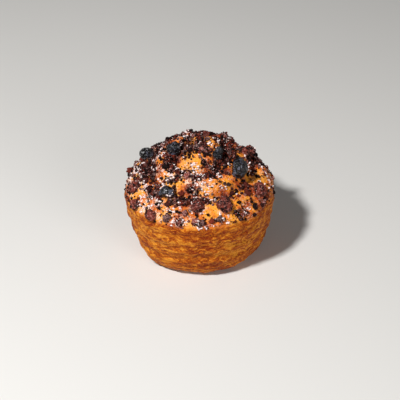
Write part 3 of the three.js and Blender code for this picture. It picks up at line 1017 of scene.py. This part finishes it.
def cookie_finish(name, look, brown):
    """Crumbly chocolate cookie: near black with a painted grey highlight, or brown with rosy
    grains.
    """
    recipe = Recipe(name)
    clods, fine = recipe.pattern("clods"), recipe.pattern("fine")
    cracks = recipe.cells(recipe.warped("kinks", 0.7 * MM), 260.0, "DISTANCE_TO_EDGE")
    crumbly = recipe.cells(recipe.place, 1500.0) * -0.4 + fine * 0.15
    if brown:
        colour = recipe.blend(recipe.fade(clods, 0.4, 0.56), look.black, look.cocoa)
        pale = recipe.fade(recipe.pattern("rosy"), 0.52, 0.64) * 0.75
        roughness, specular = 0.6 + fine * 0.2, 0.12
    else:
        # Painted bluish-grey highlight on the dark cookie, kept out of the cracks, which stay black
        painted_highlight_share = recipe.fade(clods, 0.5, 0.6) * recipe.fade(cracks, 0.02, 0.12)
        colour = recipe.blend(painted_highlight_share * 0.8, look.black, look.painted_highlight)
        pale = recipe.fade(recipe.pattern("pale"), 0.62, 0.74) * 0.45
        roughness, specular = 0.2 + fine * 0.25, 0.6
        crumbly = crumbly * 0.2
    colour = recipe.blend(pale, colour, look.rose)
    height = recipe.fade(cracks, 0.0, 0.09) * 0.8 + clods * 0.7 + crumbly
    normal = recipe.bump(height, 0.8 * MM, 0.9)
    return recipe.finish(colour, roughness, {"Normal": normal, "Specular IOR Level": specular})


class PASTRY_OT_break_cookie(bpy.types.Operator):
    """Gives each large piece of broken cookie its crags, in place of its solid"""

    bl_idname = "pastry.break_cookie"
    bl_label = "Break the cookie"

    def execute(self, context):
        look = context.scene.croissant_cookie
        crags, clods, pits = (self.texture(name) for name in CRAG_TEXTURES)
        kinds = {  # coarse texture and its height, height of the pits, material
            "dark": (crags, look.crag, 0.4 * look.pit, cookie_finish("dark_cookie", look, False)),
            "brown": (clods, -look.clod, look.pit, cookie_finish("brown_cookie", look, True)),
        }
        for name in sorted(frame["nodes"]):
            shade, _, number = name.partition("_chunk_")
            if not number:
                continue
            coarse, height, pit, finish = kinds[shade]
            mesh = frame["nodes"][name].data.copy()
            piece = bpy.data.objects.new(f"{shade}_cookie_{number}", mesh)
            context.scene.collection.objects.link(piece)
            edit_all(piece)
            bpy.ops.mesh.remove_doubles(threshold=1e-6)
            bpy.ops.object.mode_set(mode="OBJECT")
            self.settle(piece, name)
            finish_with(piece, "REMESH", "grain", mode="VOXEL", voxel_size=look.grain)
            finish_with(piece, "DISPLACE", "crags", texture=coarse, strength=height, mid_level=0.45)
            finish_with(piece, "DISPLACE", "pits", texture=pits, strength=pit, mid_level=0.5)
            bpy.ops.object.shade_smooth()
            piece.data.materials.clear()
            piece.data.materials.append(finish)
            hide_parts(name)
            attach(piece, "root")
        return {"FINISHED"}

    @staticmethod
    def texture(name):
        kind, size, settings = CRAG_TEXTURES[name]
        texture = bpy.data.textures.new(f"cookie_{name}", kind)
        texture.noise_scale = size * MM
        for key, value in settings.items():
            setattr(texture, key, value)
        return texture

    @staticmethod
    def settle(piece, name):
        """Presses the underside down onto the dough."""
        low, high = (np.array(corner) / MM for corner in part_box(name))
        out = outward_at((low + high) / 2)
        points = vertices_of(piece)
        facing = normals_of(points, triangles_of(piece)) @ out
        move_vertices(piece, points - out * (SETTLE * MM * smooth(-0.1, -0.7, facing))[:, None])


def broken_ball(subdivisions, cuts, rng, depth=(0.6, 0.92), raggedness=0.5, weld=0.02):
    """A unit ball broken along flat faces: its vertices and triangles."""
    bpy.ops.mesh.primitive_ico_sphere_add(subdivisions=subdivisions, radius=1)
    ball = bpy.context.object
    points = vertices_of(ball)
    shift = rng.uniform(0, 90, 3)
    swell = rough(points + shift, "bulges") + 0.5 * rough(points + shift, "dents")
    move_vertices(ball, points * (1 + raggedness * swell)[:, None])
    edit_all(ball)
    for _ in range(cuts):
        facing = Vector(rng.normal(size=3)).normalized()
        plane = facing * float(rng.uniform(*depth))
        bpy.ops.mesh.select_all(action="SELECT")
        bpy.ops.mesh.bisect(plane_co=plane, plane_no=facing, use_fill=True, clear_outer=True)
    bpy.ops.mesh.select_all(action="SELECT")
    bpy.ops.mesh.remove_doubles(threshold=weld)
    bpy.ops.mesh.normals_make_consistent(inside=False)
    bpy.ops.mesh.quads_convert_to_tris()
    return shape_taken(ball)


def sugar_block(stretch, chamfer):
    """A bevelled block about two units long: its vertices and triangles."""
    bpy.ops.mesh.primitive_cube_add(size=2)
    block = bpy.context.object
    edit_all(block)
    bpy.ops.transform.resize(value=stretch)
    bpy.ops.mesh.bevel(offset=chamfer, segments=1)
    bpy.ops.mesh.select_all(action="SELECT")
    bpy.ops.mesh.quads_convert_to_tris()
    return shape_taken(block)


def strewn(name, shapes, places, turns, sizes, tones):
    """One mesh of many copies: sizes is (n, 3), turns is (n, 3, 3), places is (n, 3) in metres."""
    vertices, faces, tints, count = [], [], [], 0
    for i, (place, turn, size) in enumerate(zip(places, turns, sizes)):
        points, triangles = shapes[i % len(shapes)]
        vertices.append((points * size) @ turn.T + place)
        faces.append(triangles + count)
        tints.append(np.full(len(points), tones[i]))
        count += len(points)
    tone = {"tone": np.concatenate(tints)}
    return new_piece(name, np.concatenate(vertices), [np.concatenate(faces)], tone)


def random_turns(rng, count):
    """Even random rotations."""
    q = rng.normal(size=(count, 4))
    return np.array([Quaternion(row).normalized().to_matrix() for row in q])


def turned_to(out, heading):
    swing = Vector((0, 0, 1)).rotation_difference(Vector(out))
    return np.array((swing @ Quaternion((0, 0, 1), heading)).to_matrix())


class Skin:
    """The dough's surface, to strew things over."""

    def __init__(self, piece):
        self.piece = piece
        self.points = vertices_of(piece)
        self.triangles = triangles_of(piece)
        self.normals = normals_of(self.points, self.triangles)
        self.on_top = 1 - smooth(*TOP_EDGE, attribute_of(piece, "down"))
        a, b, c = (self.points[self.triangles[:, k]] for k in range(3))
        self.areas = np.linalg.norm(np.cross(b - a, c - a), axis=1) / 2

    def spots(self, rng, count, weight):
        """Random points and outward directions, as dense as the weight of the vertices."""
        chance = self.areas * weight[self.triangles].mean(axis=1)
        picked = rng.choice(len(self.triangles), size=count, p=chance / chance.sum())
        u, v = rng.random((2, count))
        folded = u + v > 1
        u, v = np.where(folded, 1 - u, u), np.where(folded, 1 - v, v)
        shares = np.stack([1 - u - v, u, v], -1)[..., None]
        corners = self.triangles[picked]
        out = (self.normals[corners] * shares).sum(axis=1)
        out = out / np.linalg.norm(out, axis=1, keepdims=True)
        return (self.points[corners] * shares).sum(axis=1), out


def landed(trees, points, outs):
    """Each spot moved out onto whatever already lies on it, and the way that faces."""
    reach = LANDING_REACH * MM
    rested, facings = points.copy(), outs.copy()
    for i, (point, out) in enumerate(zip(points, outs)):
        start, inward = Vector(point + out * reach), Vector(-out)
        best = reach
        for tree in trees:
            hit, facing, _, distance = tree.ray_cast(start, inward, reach)
            if hit is not None and distance < best:
                best, rested[i], facings[i] = distance, hit, facing
    return rested, facings


def crumb_finish(look):
    """Chocolate crumbs, each with its own tone, dusted with sugar."""
    recipe = Recipe("cookie_crumb")
    tone = recipe.attribute("tone")
    mottled = (tone + (recipe.pattern("mottled") - 0.5) * 0.35).clamped()
    colour = recipe.ramp(mottled, [(0.22, look.dark), (0.5, look.brown), (0.9, look.red)])
    frosted = recipe.fade(tone.math("FRACT", tone * 7.3), 0.6, 0.9)
    dusted = recipe.fade(recipe.pattern("dusting"), 0.42, 0.66)
    colour = recipe.blend(dusted * (0.03 + frosted * 0.7), colour, look.dust)
    normal = recipe.bump(recipe.pattern("crumbly"), 0.3 * MM, 0.6)
    roughness = 0.45 + recipe.pattern("sheen") * 0.3
    return recipe.finish(colour, roughness, {"Normal": normal, "Specular IOR Level": 0.06})


class PASTRY_OT_scatter_crumbs(bpy.types.Operator):
    """Lays cookie crumbs of four sizes over the top, thickest in the grooves"""

    bl_idname = "pastry.scatter_crumbs"
    bl_label = "Scatter the crumbs"

    def execute(self, context):
        look = context.scene.croissant_crumbs
        rng = np.random.default_rng(CRUMB_SEED)
        skin = Skin(needed("croissant_dough"))
        cover = attribute_of(skin.piece, "crumbed")

        middles, outs, radii, headings = (np.array(column) for column in zip(*crumb_spots()))
        shapes = [broken_ball(4, 5, rng) for _ in range(LARGE_SHAPES)]
        places = middles * MM
        sizes = radii[:, None] * CRUMB_FORM * LARGE_GROWTH * MM
        turns = [turned_to(out, heading) for out, heading in zip(outs, headings)]
        tones = rng.random(len(places)) ** 1.3
        large = strewn("crumbs_large", shapes, places, turns, sizes, tones)

        pieces, trees = [large], [tree_of(skin.piece)]
        for size, anywhere, skew, ride, shape_count, breaking in LOOSE_CRUMBS:
            trees.append(tree_of(pieces[-1]))
            count, radius = getattr(look, f"{size}_count"), getattr(look, f"{size}_radius")
            points, outs = skin.spots(rng, count, cover + anywhere * skin.on_top)
            radii = mix(*radius, rng.random(count) ** skew)
            if size == "medium":
                kept = self.clear_spots(points, radii, places)
                points, outs, radii = points[kept], outs[kept], radii[kept]
            else:
                points, outs = landed(trees, points, outs)
            shapes = [broken_ball(rng=rng, **breaking) for _ in range(shape_count)]
            sizes = radii[:, None] * rng.uniform(*CRUMB_STRETCH, (len(points), 3))
            tones = rng.random(len(points)) ** 1.7
            turns = random_turns(rng, len(points))
            middles = points + outs * (radii * ride)[:, None]
            pieces.append(strewn(f"crumbs_{size}", shapes, middles, turns, sizes, tones))

        finish = crumb_finish(look)
        for piece in pieces:
            piece.data.materials.append(finish)
            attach(piece, "root")
        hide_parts("croissant")
        return {"FINISHED"}

    @staticmethod
    def clear_spots(points, radii, larger):
        """The spots that lie in none of the larger crumbs and in no chunk."""
        taken = nearest_among(larger)
        cores = [(seat(place)[0], CHUNK_CORE * max(size) / 2) for place, size in CHUNK_SEATS]
        return [
            i
            for i, point in enumerate(points)
            if taken.find(point)[2] > radii[i]
            and all(np.linalg.norm(point / MM - middle) > reach for middle, reach in cores)
        ]


def sugar_finish(look):
    """Clouded white sugar with a clear coat."""
    recipe = Recipe("sugar")
    cloud = recipe.pattern("cloud")
    colour = recipe.blend(cloud * 0.3, look.white, look.shade)
    normal = recipe.bump(cloud, 0.1 * MM, 0.5)
    coat = {"Normal": normal, "Coat Weight": 0.4, "Coat Roughness": 0.15}
    return recipe.finish(colour, 0.22 + cloud * 0.2, coat)


class PASTRY_OT_sprinkle_sugar(bpy.types.Operator):
    """Drops sugar crystals and finer grains on the crumbs and the dough"""

    bl_idname = "pastry.sprinkle_sugar"
    bl_label = "Sprinkle the sugar"

    def execute(self, context):
        look = context.scene.croissant_sugar
        rng = np.random.default_rng(SUGAR_SEED)
        skin = Skin(needed("croissant_dough"))
        plain = [KNOB_FRONT, *((place, 0.6 * max(size)) for place, size in CHUNK_SEATS)]
        white = 0.8 * nearness(skin.points / MM, SUGAR_PATCHES)
        weight = skin.on_top * (0.2 + attribute_of(skin.piece, "haze") + white)
        weight = weight * (1 - 0.85 * nearness(skin.points / MM, plain))
        finish = sugar_finish(look)
        names = ["croissant_dough", "crumbs_large", "crumbs_medium"]
        names += [piece.name for piece in bpy.data.objects if "_cookie_" in piece.name]
        trees = [tree_of(needed(name)) for name in names]
        shapes = [sugar_block(stretch, chamfer) for stretch, chamfer in SUGAR_BLOCKS]

        crystals = look.crystal_count
        clusters, _ = skin.spots(rng, look.cluster_count, weight)
        picked = rng.integers(0, look.cluster_count, crystals)
        spread = rng.normal(size=(crystals, 3)) * CLUSTER_SPREAD * MM
        gathered = clusters[picked] + spread * rng.random((crystals, 1))
        nearest = nearest_among(skin.points)
        around = [nearest.find(point)[1] for point in gathered]
        for name, points, outs, size in (
            ("sugar_crystals", skin.points[around], skin.normals[around], look.crystal_size),
            ("sugar_grains", *skin.spots(rng, look.grain_count, weight), look.grain_size),
        ):
            count = len(points)
            points, facings = landed(trees, points, outs)
            halves = mix(*size, rng.random(count) ** 1.8)
            points = points + facings * (halves * SUGAR_RIDE)[:, None]
            sizes = halves[:, None] * rng.uniform(*SUGAR_STRETCH, (count, 3))
            turns, tones = random_turns(rng, count), rng.random(count)
            piece = strewn(name, shapes, points, turns, sizes, tones)
            piece.data.materials.append(finish)
            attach(piece, "root")
        return {"FINISHED"}


class PASTRY_OT_set_stage(bpy.types.Operator):
    """Lays the floor and sets the lights and the camera"""

    bl_idname = "pastry.set_stage"
    bl_label = "Set the stage"

    def execute(self, context):
        look = context.scene.croissant_stage
        bpy.ops.mesh.primitive_plane_add(size=FLOOR_SIZE)
        floor = bpy.context.object
        floor.name = "floor"
        recipe = Recipe("pale_floor")
        shade = tuple(0.97 * x for x in look.floor)
        colour = recipe.blend(recipe.pattern("floor"), look.floor, shade)
        floor.data.materials.append(recipe.finish(colour, FLOOR_ROUGHNESS, {}))
        self.lamp("key", look.key_power)
        self.lamp("front", look.front_power)

        world = bpy.data.worlds.new("room")
        world.use_nodes = True
        room = world.node_tree.nodes["Background"]
        room.inputs["Color"].default_value = (1.0, 1.0, 1.0, 1.0)
        room.inputs["Strength"].default_value = look.room
        context.scene.world = world
        context.scene.view_settings.view_transform = "Standard"

        back = Vector((0, -math.cos(look.elevation), math.sin(look.elevation)))
        lens = bpy.data.cameras.new("camera")
        lens.lens = look.lens
        lens.sensor_width = SENSOR_WIDTH
        camera = self.aimed("camera", lens, VIEW_CENTRE + back * look.distance, VIEW_CENTRE)
        context.scene.camera = camera
        return {"FINISHED"}

    def lamp(self, name, power):
        place, size = LAMPS[name]
        light = bpy.data.lights.new(name, "AREA")
        light.energy = power
        light.size = size
        self.aimed(name, light, Vector(place), LAMP_AIM)

    @staticmethod
    def aimed(name, content, place, aim):
        """A camera or lamp at one place that looks at another."""
        holder = bpy.data.objects.new(name, content)
        holder.location = place
        holder.rotation_euler = (aim - place).to_track_quat("-Z", "Y").to_euler()
        bpy.context.scene.collection.objects.link(holder)
        return holder


PARTS = {
    "croissant_dough": (CroissantDoughSettings, PASTRY_OT_bake_dough),
    "croissant_cookie": (CroissantCookieSettings, PASTRY_OT_break_cookie),
    "croissant_crumbs": (CroissantCrumbSettings, PASTRY_OT_scatter_crumbs),
    "croissant_sugar": (CroissantSugarSettings, PASTRY_OT_sprinkle_sugar),
    "croissant_stage": (CroissantStageSettings, PASTRY_OT_set_stage),
}


class PASTRY_PT_croissant(bpy.types.Panel):
    """The croissant's steps, in order, with what each can change"""

    bl_idname = "PASTRY_PT_croissant"
    bl_label = "Cookie croissant"
    bl_space_type = "VIEW_3D"
    bl_region_type = "UI"
    bl_category = PANEL_TAB

    def draw(self, context):
        for key, (group, step) in PARTS.items():
            box = self.layout.box()
            box.operator(step.bl_idname)
            for name in group.__annotations__:
                box.prop(getattr(context.scene, key), name)


def register():
    for key, (group, step) in PARTS.items():
        bpy.utils.register_class(group)
        setattr(bpy.types.Scene, key, PointerProperty(type=group))
        bpy.utils.register_class(step)
    bpy.utils.register_class(PASTRY_PT_croissant)


def unregister():
    bpy.utils.unregister_class(PASTRY_PT_croissant)
    for key, (group, step) in PARTS.items():
        bpy.utils.unregister_class(step)
        delattr(bpy.types.Scene, key)
        bpy.utils.unregister_class(group)


def main():
    register()
    bpy.ops.pastry.bake_dough()
    bpy.ops.pastry.break_cookie()
    bpy.ops.pastry.scatter_crumbs()
    bpy.ops.pastry.sprinkle_sugar()
    bpy.ops.pastry.set_stage()


if __name__ == "__main__":
    main()
